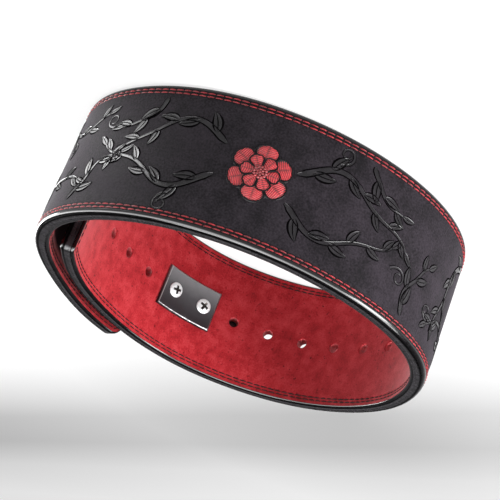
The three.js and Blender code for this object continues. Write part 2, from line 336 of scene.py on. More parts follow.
def new_finish(name, **sockets):
    """A material of one shader, its even values set on the shader's own sockets.

    Gives the material, its shader and the place on the object that is being shaded.
    """
    material = bpy.data.materials.new(name)
    material.use_nodes = True
    shader = material.node_tree.nodes["Principled BSDF"]
    for socket, value in sockets.items():
        shader.inputs[socket.replace("_", " ")].default_value = value
    return material, shader, put(material.node_tree, "ShaderNodeTexCoord").outputs["Object"]


def noise(place, feature, detail=2.0, stretch=(1, 1, 1)):
    """Cloudy noise whose lumps are about as wide as the feature."""
    tree = place.id_data
    scaled = put(tree, "ShaderNodeMapping", {"Vector": place, "Scale": stretch}).outputs[0]
    sockets = {"Vector": scaled, "Scale": 1 / feature, "Detail": detail}
    return put(tree, "ShaderNodeTexNoise", sockets).outputs["Fac"]


def ramp(factor, stops):
    """Values or colours by a factor. Each stop is a position and a grey number or a colour."""
    node = put(factor.id_data, "ShaderNodeValToRGB", {"Fac": factor})
    elements = node.color_ramp.elements
    while len(elements) < len(stops):
        elements.new(0.5)
    for element, (position, value) in zip(elements, stops):
        element.position = position
        element.color = (*value, 1) if isinstance(value, tuple) else (value, value, value, 1)
    return node.outputs["Color"]


def calc(operation, *values):
    """The result of one sum over sockets and numbers."""
    tree = next(value.id_data for value in values if isinstance(value, bpy.types.NodeSocket))
    return put(tree, "ShaderNodeMath", dict(enumerate(values)), operation=operation).outputs[0]


def between(value, first, last, first_gives, last_gives):
    """A value's place between two others, as a number between the two that those give."""
    return put(value.id_data, "ShaderNodeMapRange", {
        "Value": value, "From Min": first, "From Max": last, "To Min": first_gives, "To Max": last_gives,
    }).outputs["Result"]


def blend_colours(share, one, two, way="MIX"):
    inputs = {"Factor": share, 6: one, 7: two}
    tree = next(value.id_data for value in (share, one) if isinstance(value, bpy.types.NodeSocket))
    return put(tree, "ShaderNodeMix", inputs, data_type="RGBA", blend_type=way).outputs[2]


def read_value(shader, name):
    """A number that the mesh keeps at each point."""
    return put(shader.id_data, "ShaderNodeAttribute", attribute_name=name).outputs["Fac"]


def read_flat(shader):
    """The place on the strap laid flat, along it and up."""
    return put(shader.id_data, "ShaderNodeUVMap", uv_map="flat").outputs["UV"]


def bump(height, depth, strength=1.0, below=None):
    inputs = {"Height": height, "Distance": depth, "Strength": strength}
    if below is not None:
        inputs["Normal"] = below
    return put(height.id_data, "ShaderNodeBump", inputs).outputs["Normal"]


def link(socket, shader, name):
    socket.id_data.links.new(socket, shader.inputs[name])


def drive(shader, name, factor, stops):
    """Sets one of the shader's sockets by a factor."""
    link(ramp(factor, stops), shader, name)


edge_paint, shader, place = new_finish("edge_paint")
flat_place = read_flat(shader)
wrinkles = noise(flat_place, 2.6 * mm, 3, (1, 0.12, 1))
grain = noise(place, 0.5 * mm, 2)
worn = noise(place, 9 * mm, 3)
# Painted shade between the layers: near the cover and the lining the paint turns black and dull.
part_out = between(read_value(shader, "depth"), core_inside, core_outside, 0.0, 1.0)
clear_of_painted_shade = ramp(part_out, [(0.06, 0.0), (0.14, 1.0), (0.7, 1.0), (0.8, 0.0)])
# Painted shade of the ribs: the paint is darker in the wrinkles' hollows, lighter on their ridges.
paint = ramp(wrinkles, [(0.35, (0.004, 0.0037, 0.0042)), (0.65, (0.02, 0.0185, 0.021))])
link(blend_colours(clear_of_painted_shade, (0.001, 0.0009, 0.001, 1), paint), shader, "Base Color")
link(calc("MULTIPLY_ADD", clear_of_painted_shade, 0.33, 0.02), shader, "Specular IOR Level")
drive(shader, "Roughness", worn, [(0.25, 0.22), (0.8, 0.34)])
wrinkled = bump(wrinkles, 0.16 * mm, 0.5)
link(bump(grain, 0.01 * mm, 0.2, wrinkled), shader, "Normal")


def one_noise_finish(name, feature, detail, colours, roughness=None, relief=None, **sockets):
    """A finish whose colour, roughness and relief follow one noise. relief: depth and strength."""
    material, shader, place = new_finish(name, **sockets)
    uneven = noise(place, feature, detail)
    drive(shader, "Base Color", uneven, colours)
    if roughness:
        drive(shader, "Roughness", uneven, roughness)
    if relief:
        link(bump(uneven, *relief), shader, "Normal")
    return material


hole_wall = one_noise_finish(
    "hole_wall", 0.7 * mm, 3, [(0.3, (0.34, 0.02, 0.026)), (0.7, (0.6, 0.07, 0.08))],
    [(0.2, 0.5), (0.8, 0.8)], (0.1 * mm, 0.6), Sheen_Weight=0.1,
)

crease = 4.7 * mm
core_rim = [
    (8.7 * mm, -0.12 * mm), (8.4 * mm, 0), (7.8 * mm, 0.04 * mm), (6.6 * mm, 0.05 * mm),
    (crease + 0.5 * mm, 0.03 * mm), (crease + 0.15 * mm, -0.06 * mm), (crease - 0.15 * mm, -0.06 * mm),
    (crease - 0.5 * mm, 0.03 * mm), (3.2 * mm, 0.04 * mm), (2.6 * mm, 0), (2.3 * mm, -0.12 * mm),
]
strap_core = make_layer(
    "strap_core",
    face_rows=[(0, core_outside), (0.5 * mm, core_outside)],
    rim_rows=core_rim,
    back_out=core_inside,
    hole_rows=[(0, core_outside), (0.5 * mm, core_outside)],
    finishes=[edge_paint, edge_paint, hole_wall],
    painted_inset=0.5 * mm,
)
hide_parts("core")
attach(strap_core, "root")

# Cover
# The charcoal nubuck skin on the outside, 2 mm thick, glued to the core and sewn through it in
# two rows along every edge. Its border is rounded over and painted a smooth glossy black.
layer_setback = 0.3 * mm
cover_round = 2.4 * mm
painted_border = 2.9 * mm
seam_insets = (4.3 * mm, 6.7 * mm)
seam_sink = 0.35 * mm
groove_reach = 0.95 * mm
open_face_inset = 8.6 * mm


def rounded_rows(face, radius, inward, border):
    """Rows of points round an edge, from nearly square to the face back to flat with it."""
    rows = []
    for turn in (10, 24, 38, 52, 66, 80, 90):
        angle = math.radians(turn)
        rows.append((border + radius * (1 - math.cos(angle)), face - inward * radius * (1 - math.sin(angle))))
    return rows


def seam_rows(face, inward):
    """Rows of points across the two seams, each lying in a groove the thread has pulled down."""
    rows = []
    for seam in seam_insets:
        for aside, share in (
            (-groove_reach, 0), (-0.5 * mm, 0.45), (0, 1), (0.5 * mm, 0.45), (groove_reach, 0),
        ):
            rows.append((seam + aside, face - inward * share * seam_sink))
    return rows


def blend(share, one, two):
    return put(one.id_data, "ShaderNodeMix", {"Factor": share, "A": one, "B": two}).outputs["Result"]


def nubuck_finish(name, dark, light):
    """Buffed leather: a fine nap over faint clouds, with open pores."""
    material, shader, place = new_finish(
        name, Sheen_Weight=0.1, Sheen_Roughness=0.35, Sheen_Tint=(0.6, 0.56, 0.62, 1),
        Specular_IOR_Level=0.09,
    )
    nap = noise(place, 1.3 * mm, 4)
    clouds = noise(place, 18 * mm, 5)
    tone = blend(0.5, nap, clouds)
    drive(shader, "Base Color", tone, [(0.39, dark), (0.62, light)])
    drive(shader, "Roughness", clouds, [(0.3, 0.72), (0.7, 0.88)])
    pores = noise(place, 0.9 * mm, 2)
    link(bump(nap, 0.3 * mm, 0.8, bump(pores, 0.12 * mm, 0.5)), shader, "Normal")
    return material


border_gloss = one_noise_finish(
    "border_gloss", 8 * mm, 3, [(0.3, (0.0012, 0.001, 0.0012)), (0.7, (0.004, 0.0035, 0.004))],
    [(0.3, 0.12), (0.7, 0.2)], (0.1 * mm, 0.2), Specular_IOR_Level=0.42,
)
nubuck = nubuck_finish("nubuck", (0.0036, 0.0028, 0.0038), (0.022, 0.0175, 0.0225))
seam_nubuck = nubuck_finish("seam_nubuck", (0.002, 0.0018, 0.0022), (0.007, 0.0062, 0.0072))

cover = make_layer(
    "cover",
    face_rows=rounded_rows(strap_thickness, cover_round, 1, layer_setback)
    + [(painted_border, strap_thickness)] + seam_rows(strap_thickness, 1)
    + [(open_face_inset, strap_thickness)],
    rim_rows=[],
    back_out=core_outside - 0.05 * mm,
    hole_rows=[
        (0, strap_thickness - 0.5 * mm), (0.12 * mm, strap_thickness - 0.2 * mm),
        (0.45 * mm, strap_thickness - 0.04 * mm), (1 * mm, strap_thickness),
    ],
    finishes=[nubuck, border_gloss, hole_wall, seam_nubuck],
    painted_inset=painted_border,
    seam_inset=seam_insets[1] + groove_reach,
)
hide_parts("outer_cover")
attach(cover, "root")

# Lining
# The red suede skin on the inside, 2 mm thick, glued to the core and caught by the same seams.
# Its nap is brushed into soft clouds, and only its outermost millimetre is painted. Inside the
# overlap the middle of the face is coloured near black without sheen, a painted shadow in the
# gap between the turns.
lining_round = 1.2 * mm
lining_border = layer_setback + lining_round
painted_shadow_from = 790 * mm
painted_shadow_half_width = 38 * mm

suede, shader, place = new_finish(
    "suede", Sheen_Roughness=0.4, Sheen_Tint=(1, 0.64, 0.65, 1), Specular_IOR_Level=0.04,
)
brushed = noise(place, 9 * mm, 6)
fine_nap = noise(place, 1.2 * mm, 4)
specks = noise(place, 2.4 * mm, 6)
tone = blend(0.42, brushed, fine_nap)
colour = ramp(tone, [
    (0.34, (0.205, 0.007, 0.010)), (0.48, (0.30, 0.013, 0.018)), (0.66, (0.41, 0.034, 0.041)),
])
speckled = blend_colours(1.0, colour, ramp(specks, [(0.27, 0.35), (0.38, 1.0)]), "MULTIPLY")
flat_parts = put(shader.id_data, "ShaderNodeSeparateXYZ", {"Vector": read_flat(shader)}).outputs
# Painted shadow: inside the overlap the face is coloured near black and its sheen taken away.
overlapped = ramp(flat_parts["X"], [(painted_shadow_from, 0.0), (painted_shadow_from + 40 * mm, 1.0)])
off_middle = calc("ABSOLUTE", calc("SUBTRACT", flat_parts["Y"], strap_width / 2))
painted_shadow_edge = painted_shadow_half_width + strap_thickness
painted_shadow = calc("MULTIPLY", overlapped, between(off_middle, painted_shadow_edge, painted_shadow_edge + 4 * mm, 1.0, 0.0))
link(blend_colours(painted_shadow, speckled, (0.006, 0.002, 0.003, 1)), shader, "Base Color")
link(calc("MULTIPLY", calc("SUBTRACT", 1.0, painted_shadow), 0.32), shader, "Sheen Weight")
drive(shader, "Roughness", brushed, [(0.3, 0.85), (0.7, 0.95)])
link(bump(fine_nap, 0.2 * mm, 0.7), shader, "Normal")

lining = make_layer(
    "lining_skin",
    face_rows=rounded_rows(0, lining_round, -1, layer_setback)
    + seam_rows(0, -1) + [(open_face_inset, 0)],
    rim_rows=[],
    back_out=core_inside + 0.05 * mm,
    hole_rows=[
        (0, 0.7 * mm), (0.15 * mm, 0.3 * mm), (0.5 * mm, 0.06 * mm), (1.1 * mm, 0),
    ],
    finishes=[suede, border_gloss, hole_wall],
    painted_inset=lining_border,
)
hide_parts("lining")
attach(lining, "root")

# Stitches
# Two rows of thick red thread on the cover and of thin black bobbin thread on the lining, all
# round the strap. Each stitch is a bowed length of twisted thread that dives into the leather
# at both ends. The rows are one seam, so both faces share their pitch.
stitch_pitch = 5.9 * mm
red_reach = 5.0 * mm
red_thread_width = 0.9 * mm
black_reach = 5.2 * mm
black_thread_width = 0.9 * mm


def make_stitch_tree():
    """Stitches at an even pitch along each seam line, laid along it and bowed outward."""
    tree = bpy.data.node_groups.new("stitches_on_seams", "GeometryNodeTree")
    tree.interface.new_socket("Seams", in_out="INPUT", socket_type="NodeSocketGeometry")
    for name in ("Pitch", "Reach", "Dive", "Bow", "Thread radius"):
        tree.interface.new_socket(name, in_out="INPUT", socket_type="NodeSocketFloat")
    tree.interface.new_socket("Finish", in_out="INPUT", socket_type="NodeSocketMaterial")
    tree.interface.new_socket("Stitches", in_out="OUTPUT", socket_type="NodeSocketGeometry")
    given = tree.nodes.new("NodeGroupInput").outputs

    def add(kind, inputs=None, output=0, **settings):
        return put(tree, kind, inputs, **settings).outputs[output]

    def keep(geometry, name, value, domain="POINT"):
        inputs = {"Geometry": geometry, "Name": name, "Value": value}
        return add("GeometryNodeStoreNamedAttribute", inputs, data_type="FLOAT", domain=domain)

    half = calc("MULTIPLY", given["Reach"], 0.5)
    back = calc("MULTIPLY", half, -1.0)
    bow = add("GeometryNodeCurveQuadraticBezier", {
        "Resolution": 7,
        "Start": add("ShaderNodeCombineXYZ", {"X": back, "Z": given["Dive"]}),
        "Middle": add("ShaderNodeCombineXYZ", {"Z": given["Bow"]}),
        "End": add("ShaderNodeCombineXYZ", {"X": half, "Z": given["Dive"]}),
    })
    circle = {"Resolution": 7, "Radius": given["Thread radius"]}
    ring = add("GeometryNodeCurvePrimitiveCircle", circle, mode="RADIUS")
    share = add("GeometryNodeSplineParameter", output="Factor")
    stitch = add("GeometryNodeCurveToMesh", {
        "Curve": keep(bow, "lengthways", share),
        "Profile Curve": keep(ring, "around", share), "Fill Caps": True,
    })
    stitch = add("GeometryNodeSetShadeSmooth", {"Geometry": stitch})
    seams = add("GeometryNodeMeshToCurve", {"Mesh": given["Seams"]})
    spots = put(tree, "GeometryNodeCurveToPoints", {
        "Curve": seams, "Length": given["Pitch"],
    }, mode="LENGTH").outputs
    outward = add("GeometryNodeInputNamedAttribute", {"Name": "outward"}, data_type="FLOAT_VECTOR")
    stood = add("FunctionNodeAlignRotationToVector", {"Vector": outward}, axis="Z")
    laid = add("FunctionNodeAlignRotationToVector", {
        "Rotation": stood, "Vector": spots["Tangent"],
    }, axis="X", pivot_axis="Z")
    askew = add("FunctionNodeRandomValue", {
        "Min": (0, 0, -0.05), "Max": (0, 0, 0.05), "Seed": 4,
    }, "Value", data_type="FLOAT_VECTOR")
    turned = add("FunctionNodeRotateRotation", {"Rotation": laid, "Rotate By": askew}, rotation_space="LOCAL")
    sewn = add("GeometryNodeInstanceOnPoints", {
        "Points": spots["Points"], "Instance": stitch, "Rotation": turned,
    })
    shade = add("FunctionNodeRandomValue", {"Seed": 11}, 1, data_type="FLOAT")
    real = add("GeometryNodeRealizeInstances", {"Geometry": keep(sewn, "shade", shade, "INSTANCE")})
    finished = add("GeometryNodeSetMaterial", {"Geometry": real, "Material": given["Finish"]})
    tree.links.new(finished, tree.nodes.new("NodeGroupOutput").inputs["Stitches"])
    return tree


stitch_tree = make_stitch_tree()


def tree_input(tree, name):
    """The identifier of a tree's named input."""
    for item in tree.interface.items_tree:
        if item.name == name and item.in_out == "INPUT":
            return item.identifier
    raise KeyError(name)


def finished_mesh(thing):
    """A plain mesh of the object as its modifiers leave it."""
    bpy.context.view_layer.update()
    return bpy.data.meshes.new_from_object(thing.evaluated_get(bpy.context.evaluated_depsgraph_get()))


def made_plain(carrier, name):
    """The carrier as a plain mesh object of that name. The carrier is removed."""
    mesh = finished_mesh(carrier)
    bpy.data.objects.remove(carrier)
    mesh.name = name
    return add_object(name, mesh)


def sew(name, face, sign, reach, width, dive, bow, finish):
    """Both seams on one face of the strap, sewn all round. sign is 1 outward and -1 inward."""
    points = []
    outward = []
    edges = []
    for seam in seam_insets:
        row = outline(seam)
        first = len(points)
        points.extend(on_strap(row[:, 0], face, row[:, 1]))
        outer = on_strap(row[:, 0], face + sign * mm, row[:, 1])
        outward.extend((outer - np.array(points[first:])) / mm)
        edges += [(first + k, first + (k + 1) % len(row)) for k in range(len(row))]
    mesh = bpy.data.meshes.new(name)
    mesh.from_pydata(points, edges, [])
    mesh.attributes.new("outward", "FLOAT_VECTOR", "POINT").data.foreach_set("vector", np.ravel(outward))
    carrier = add_object(name, mesh)
    sewing = carrier.modifiers.new("sewing", "NODES")
    sewing.node_group = stitch_tree
    values = {
        "Pitch": stitch_pitch, "Reach": reach, "Dive": dive, "Bow": bow,
        "Thread radius": width / 2, "Finish": finish,
    }
    for key, value in values.items():
        sewing[tree_input(stitch_tree, key)] = value
    return made_plain(carrier, name)


def thread_finish(name, dark, light, roughness, specular):
    """Twisted thread: two plies show as slanting dark lines, and each stitch has its own shade."""
    material, shader, place = new_finish(name, Specular_IOR_Level=specular)
    lengthways = read_value(shader, "lengthways")
    around = read_value(shader, "around")
    shade = read_value(shader, "shade")
    swing = calc("MULTIPLY", calc("MULTIPLY_ADD", lengthways, 5.0, around), 2 * math.pi)
    ply = calc("MULTIPLY_ADD", calc("SINE", swing), 0.5, 0.5)
    tone = blend(0.5, ply, shade)
    drive(shader, "Base Color", tone, [(0.0, dark), (0.8, light)])
    drive(shader, "Roughness", shade, [(0, roughness - 0.06), (1, roughness + 0.06)])
    link(bump(ply, 0.12 * mm, 0.6), shader, "Normal")
    return material


red_thread = thread_finish("red_thread", (0.05, 0.003, 0.005), (0.31, 0.011, 0.017), 0.5, 0.3)
black_thread = thread_finish("black_thread", (0.0015, 0.0012, 0.0015), (0.006, 0.005, 0.006), 0.55, 0.08)

red_stitches = sew(
    "red_stitches", strap_thickness - seam_sink, 1, red_reach, red_thread_width,
    dive=-0.4 * mm, bow=1.15 * mm, finish=red_thread,
)
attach(red_stitches, "root")
black_stitches = sew(
    "black_stitches", seam_sink, -1, black_reach, black_thread_width,
    dive=-0.3 * mm, bow=0.7 * mm, finish=black_thread,
)
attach(black_stitches, "root")

# Embroidered blossom
# A six-petalled flower worked in red satin stitch over a black felt pad on the front of the
# cover, with a second whorl of smaller petals, corded black outlines and a heart of knots.
blossom_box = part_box("blossom_emblem")
blossom_middle = np.array((blossom_box[0] + blossom_box[1]) / 2)[:2]
blossom_along = line_along[np.hypot(*(line_points - blossom_middle).T).argmin()]
blossom_up = (blossom_box[0].z + blossom_box[1].z) / 2
blossom_radius = 21 * mm
pad_height = 0.5 * mm
thread_pitch = 1.3 * mm


def on_cover(x, y, height):
    """Points over the cover, x along it and y up from the blossom's middle."""
    return on_strap(blossom_along + x, strap_thickness + height, blossom_up + y)


def ring_faces(rows, count, closed=False, capped=False):
    """Quads round a stack of rows that hold the same count of points."""
    faces = []
    for row in range(rows if closed else rows - 1):
        low = row * count
        high = (row + 1) % rows * count
        for k in range(count):
            ahead = (k + 1) % count
            faces.append((low + k, low + ahead, high + ahead, high + k))
    if capped:
        faces += [tuple(range(count)), tuple(range((rows - 1) * count, rows * count))]
    return faces


class Shapes:
    """Gathers grids and loops of points into one mesh, each point with its own shade: a tone, or on the
    petals a painted shade.
    """

    def __init__(self):
        self.points = []
        self.faces = []
        self.finishes = []
        self.values = {"shade": [], "lengthways": [], "around": []}

    def add(self, points, faces, finish=0, **values):
        first = len(self.points)
        self.points.extend(np.reshape(points, (-1, 3)))
        self.faces.extend(tuple(first + k for k in face) for face in faces)
        self.finishes.extend(finish if isinstance(finish, list) else [finish] * len(faces))
        count = len(self.points) - first
        for name, row in self.values.items():
            row.extend(np.broadcast_to(np.ravel(values.get(name, 0.5)), count))

    def add_grid(self, points, under, strips=None, **values):
        """A sheet of rows by columns of points, closed below by a strip between its two sides.

        strips gives the finish of each of the sheet's lengthways strips.
        """
        rows, columns = points.shape[:2]
        strips = strips or [0] * (columns - 1)
        size = rows * columns
        faces = [
            (row * columns + k, row * columns + k + 1, (row + 1) * columns + k + 1, (row + 1) * columns + k)
            for row in range(rows - 1) for k in range(columns - 1)
        ]
        for row in range(rows - 1):
            left, right = row * columns, row * columns + columns - 1
            low_left, low_right = size + 2 * row, size + 2 * row + 1
            faces.append((left, left + columns, low_left + 2, low_left))
            faces.append((right, right + columns, low_right + 2, low_right))
            faces.append((low_left, low_right, low_right + 2, low_left + 2))
        faces.append((*range(columns), size + 1, size))
        faces.append((*range(size - columns, size), size + 2 * rows - 1, size + 2 * rows - 2))
        sides = under[:, [0, -1]].reshape(-1, 3)
        finishes = strips * (rows - 1)
        finishes += [strips[0]] * (len(faces) - len(finishes))
        whole = {name: np.concatenate([row.ravel(), row[:, [0, -1]].ravel()]) for name, row in values.items()}
        self.add(np.vstack([points.reshape(-1, 3), sides]), faces, finishes, **whole)

    def add_cord(self, x, y, height, radius, finish=0, turns=1.0, sides=7):
        """A closed cord over the cover, round a loop of places."""
        ahead_x = np.roll(x, -1) - np.roll(x, 1)
        ahead_y = np.roll(y, -1) - np.roll(y, 1)
        length = np.hypot(ahead_x, ahead_y)
        spin = 2 * math.pi * np.arange(sides) / sides
        aside = radius * np.cos(spin)
        rise = radius * np.sin(spin)
        points = on_cover(
            x[:, None] + (ahead_y / length)[:, None] * aside,
            y[:, None] - (ahead_x / length)[:, None] * aside,
            height + rise[None] + 0 * x[:, None],
        )
        gone = np.cumsum(length) / 2
        self.add(
            points, ring_faces(len(x), sides, closed=True), finish,
            lengthways=np.repeat(gone / gone[-1] * turns, sides),
            around=np.tile(spin / (2 * math.pi), len(x)),
        )

    def make(self, name, finishes):
        piece = make_piece(name, self.points, self.faces, finishes, self.finishes)
        for value, row in self.values.items():
            piece.data.attributes.new(value, "FLOAT", "POINT").data.foreach_set("value", row)
        return piece


satin, shader, place = new_finish("red_satin_stitch", Sheen_Weight=0.2, Sheen_Roughness=0.35,
                                 Sheen_Tint=(1, 0.5, 0.5, 1))
# The points' shade is painted shade on the petals; the noise adds a real uneven tone.
shade = read_value(shader, "shade")
uneven = noise(place, 2.5 * mm, 3)
tone = blend(0.3, shade, uneven)
drive(shader, "Base Color", tone, [
    (0.12, (0.015, 0.001, 0.002)), (0.5, (0.20, 0.006, 0.010)), (0.85, (0.62, 0.035, 0.045)),
])
drive(shader, "Roughness", uneven, [(0.3, 0.38), (0.7, 0.5)])
fibre = noise(place, 0.15 * mm, 2)
link(bump(fibre, 0.03 * mm, 0.4), shader, "Normal")

felt = one_noise_finish(
    "black_felt", 0.4 * mm, 3, [(0.3, (0.004, 0.004, 0.004)), (0.7, (0.014, 0.012, 0.013))],
    relief=(0.1 * mm, 0.6), Roughness=0.9, Sheen_Weight=0.1,
)

blossom = Shapes()
turns = np.linspace(0, 2 * math.pi, 121)[:-1]
notch = 0.2
pad_edge = (blossom_radius - 0.2 * mm) * (1 - notch * (1 - np.abs(np.cos(3 * turns))))
pad_rings = np.array([0.05, 0.25, 0.5, 0.75, 0.97, 1.0, 1.0, 0.75, 0.5, 0.25, 0.05])[:, None]
pad_heights = pad_height * np.array([1, 1, 1, 1, 0.95, 0.7, -0.1, -0.1, -0.1, -0.1, -0.1])[:, None]
pad_x = pad_rings * pad_edge * np.sin(turns)
pad_y = pad_rings * pad_edge * np.cos(turns)
pad_faces = ring_faces(len(pad_rings), len(turns), capped=True)
blossom.add(on_cover(pad_x, pad_y, pad_heights + 0 * pad_x), pad_faces, 1)


def add_petal(turn, root, tip, half_width, lift, crown):
    """One petal of slanting satin threads laid from a middle rib, lower on its left side."""
    threads = int((tip - root) / thread_pitch)
    t = np.linspace(0, 1, threads * 4 + 1)[:, None]
    u = np.linspace(-1, 1, 15)[None]
    widest = 0.6
    swell = np.where(
        t < widest, 0.34 + 0.66 * np.sin(math.pi / 2 * np.minimum(t / widest, 1)),
        np.sqrt(np.maximum(1 - ((t - widest) / (1 - widest)) ** 2, 0.0004)),
    )
    slant = 0.45 * half_width * np.abs(u) * (1 - t) * np.minimum(1, 3 * t)
    reach = root + (tip - root) * t + slant
    aside = half_width * swell * u
    ridge = np.abs(np.sin(math.pi * threads * t)) + 0 * u
    vein = 1 - 0.5 * np.exp(-(u / 0.09) ** 2)
    height = lift + 0.22 * mm * u + crown * (1 - np.abs(u) ** 2.2) * np.minimum(1, 4 * (1 - t) + 0.3) * vein
    height = height + 0.35 * mm * (ridge - 1) * vein
    x = reach * math.sin(turn) + aside * math.cos(turn)
    y = reach * math.cos(turn) - aside * math.sin(turn)
    # Painted shade: threads darker in their valleys, the middle rib darker, the petal darker at its root.
    tone = (0.25 + 0.75 * ridge) * (1 - 0.45 * np.exp(-(u / 0.09) ** 2))
    tone = tone * (0.55 + 0.45 * np.minimum(1, 2.5 * t))
    blossom.add_grid(on_cover(x, y, height), on_cover(x, y, 0.3 * mm + 0 * x), shade=tone)
    edge_x = np.concatenate([x[::4, -1], x[-2::-4, 0]])
    edge_y = np.concatenate([y[::4, -1], y[-2::-4, 0]])
    around = np.hypot(np.diff(edge_x), np.diff(edge_y)).sum()
    blossom.add_cord(edge_x, edge_y, lift + 0.12 * mm, 0.55 * mm, 2, turns=around / (5 * mm))


for k in range(6):
    add_petal(math.radians(60 * k), 4 * mm, blossom_radius - 0.8 * mm, 7.3 * mm, pad_height, 0.75 * mm)
for k in range(6):
    add_petal(math.radians(60 * k + 30), 2.5 * mm, 12.6 * mm, 4.4 * mm, pad_height + 0.75 * mm, 0.6 * mm)

knot_rows = ((0.0, 1), (1.9 * mm, 6), (3.7 * mm, 12))
knot_radius = 1.05 * mm
knot_turns = np.linspace(0, 2 * math.pi, 13)[:-1]
knot_rises = np.radians([-20, 5, 30, 55, 75, 89])
for ring_radius, count in knot_rows:
    for k in range(count):
        turn = 2 * math.pi * k / count + ring_radius / mm
        middle = (ring_radius * math.sin(turn), ring_radius * math.cos(turn))
        rise, spin = np.meshgrid(knot_rises, knot_turns, indexing="ij")
        x = middle[0] + knot_radius * np.cos(rise) * np.cos(spin)
        y = middle[1] + knot_radius * np.cos(rise) * np.sin(spin)
        height = pad_height + 1.35 * mm + 0.85 * knot_radius * np.sin(rise)
        faces = ring_faces(len(knot_rises), len(knot_turns), capped=True)
        coil = 0.5 + 0.4 * np.sin(3 * spin + 6 * rise)
        blossom.add(on_cover(x, y, height), faces, 0, shade=0.85 * coil)

blossom_piece = blossom.make("blossom", [satin, felt, black_thread])
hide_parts("blossom_emblem")
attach(blossom_piece, "root")

# Pressed twigs
# Leafy twigs pressed hot into the nubuck on either side of the blossom. The heat leaves them
# glossy, with a fine raised and scorched rim round each stem and leaf.
pressed, shader, place = new_finish("pressed_gloss", Specular_IOR_Level=0.26)
grain = noise(place, 1.2 * mm, 3)
patches = noise(place, 6 * mm, 3)
drive(shader, "Base Color", patches, [(0.3, (0.004, 0.0032, 0.0042)), (0.7, (0.011, 0.009, 0.0115))])
drive(shader, "Roughness", patches, [(0.3, 0.2), (0.7, 0.34)])
link(bump(grain, 0.08 * mm, 0.5), shader, "Normal")

scorched = one_noise_finish(
    "scorched_rim", 0.9 * mm, 2, [(0.3, (0.001, 0.0009, 0.001)), (0.7, (0.003, 0.0026, 0.003))],
    [(0.3, 0.6), (0.7, 0.8)], Specular_IOR_Level=0.0,
)

rim_rise = 0.38 * mm
press_across = np.array([-1, -0.9, -0.66, -0.55, -0.36, -0.1, 0, 0.1, 0.36, 0.55, 0.66, 0.9, 1])
stem_rise = np.array([0, 0.8, 1, 0.45, 0.3, 0.32, 0.34, 0.32, 0.3, 0.45, 1, 0.8, 0]) * rim_rise
leaf_rise = np.array([0, 0.8, 1, 0.45, 0.35, 0.35, 0.8, 0.35, 0.35, 0.45, 1, 0.8, 0]) * rim_rise
stem_strips = [1, 1, 0, 0, 0, 0, 0, 0, 0, 0, 1, 1]
leaf_strips = [1, 1, 0, 0, 0, 1, 1, 0, 0, 0, 1, 1]

# Each twig: its start along the strap and up, its heading, how far that turns and sways, its
# length, half width and leaves. A heading of 0 points along the strap and 90 up.
twigs = [
    (693, 60, 25, -75, 26, 98, 1.8, 7),
    (692, 37, -30, 95, -18, 92, 1.6, 6),
    (645, 41, 205, -70, 24, 98, 1.8, 7),
    (646, 63, 150, 80, -20, 88, 1.6, 6),
    (866, 14, 140, 60, 20, 84, 1.9, 6),
    (850, 88, 240, -90, 10, 66, 1.7, 5),
    (796, 88, 255, -50, -20, 52, 1.5, 4),
    (742, 11, 80, -80, 10, 40, 1.4, 3),
    (470, 12, 35, 60, -20, 84, 1.9, 6),
    (452, 84, -50, 80, 15, 70, 1.7, 5),
    (545, 89, 285, -70, 15, 50, 1.5, 4),
    (600, 11, 110, 70, 10, 40, 1.4, 3),
]
# Each tendril: its start along the strap and up, its heading, length and curl.
tendrils = [
    (716, 80, 20, 34, 420),
    (772, 30, 40, 36, -420),
    (622, 22, 200, 34, 420),
    (566, 66, 220, 36, -420),
    (512, 74, 30, 32, -430),
    (822, 50, 215, 32, 430),
]

twig_work = Shapes()


def press(path, headings, halves, rises, strips):
    """A pressed ribbon over the cover along a path of places, with its half width at each."""
    sideways = np.column_stack([-np.sin(headings), np.cos(headings)])
    places = path[:, None] + sideways[:, None] * halves[:, None, None] * press_across[None, :, None]
    share = np.minimum(1, halves / (0.8 * mm))[:, None]
    top = on_strap(places[..., 0], strap_thickness + rises[None] * share, places[..., 1])
    under = on_strap(places[..., 0], strap_thickness - 0.1 * mm, places[..., 1])
    twig_work.add_grid(top, under, strips)


def wander(start, headings, length):
    steps = np.column_stack([np.cos(headings), np.sin(headings)]) * length / len(headings)
    return np.array(start) + np.cumsum(steps, axis=0) - steps[0]


def press_leaf(foot, heading, length, curve):
    t = np.linspace(0, 1, 19)
    headings = heading + curve * t
    path = wander(foot, headings, length)
    tip = path[-1]
    near_blossom = math.hypot(tip[0] - blossom_along, tip[1] - blossom_up) < blossom_radius + 3 * mm
    if near_blossom or not 10 * mm < tip[1] < strap_width - 10 * mm:
        return
    halves = 0.22 * length * np.sin(math.pi * t ** 0.8) ** 0.85 + 0.15 * mm
    press(path, headings, halves, leaf_rise, leaf_strips)


for along, up, heading, bend, sway, length, half, leaves in twigs:
    t = np.linspace(0, 1, int(length / 1.3))
    headings = np.radians(heading + bend * t + sway * np.sin(3 * math.pi * t))
    path = wander((along * mm, up * mm), headings, length * mm)
    halves = 1.55 * half * mm * (1 - 0.7 * t) * np.minimum(1, 12 * t + 0.3) + 0.2 * mm
    press(path, headings, halves, stem_rise, stem_strips)
    for number in range(leaves):
        spot = int((number + 0.8) / (leaves + 0.3) * (len(t) - 1))
        side = 1 if number % 2 else -1
        size = (17 - 5 * number / leaves) * mm
        press_leaf(path[spot], headings[spot] + side * math.radians(48), size, -side * math.radians(30))
    press_leaf(path[-1], headings[-1], 12 * mm, math.radians(15))

for along, up, heading, length, curl in tendrils:
    t = np.linspace(0, 1, 48)
    headings = np.radians(heading + curl * t ** 1.7)
    path = wander((along * mm, up * mm), headings, length * mm)
    press(path, headings, (1.2 - 0.6 * t) * mm, stem_rise, stem_strips)

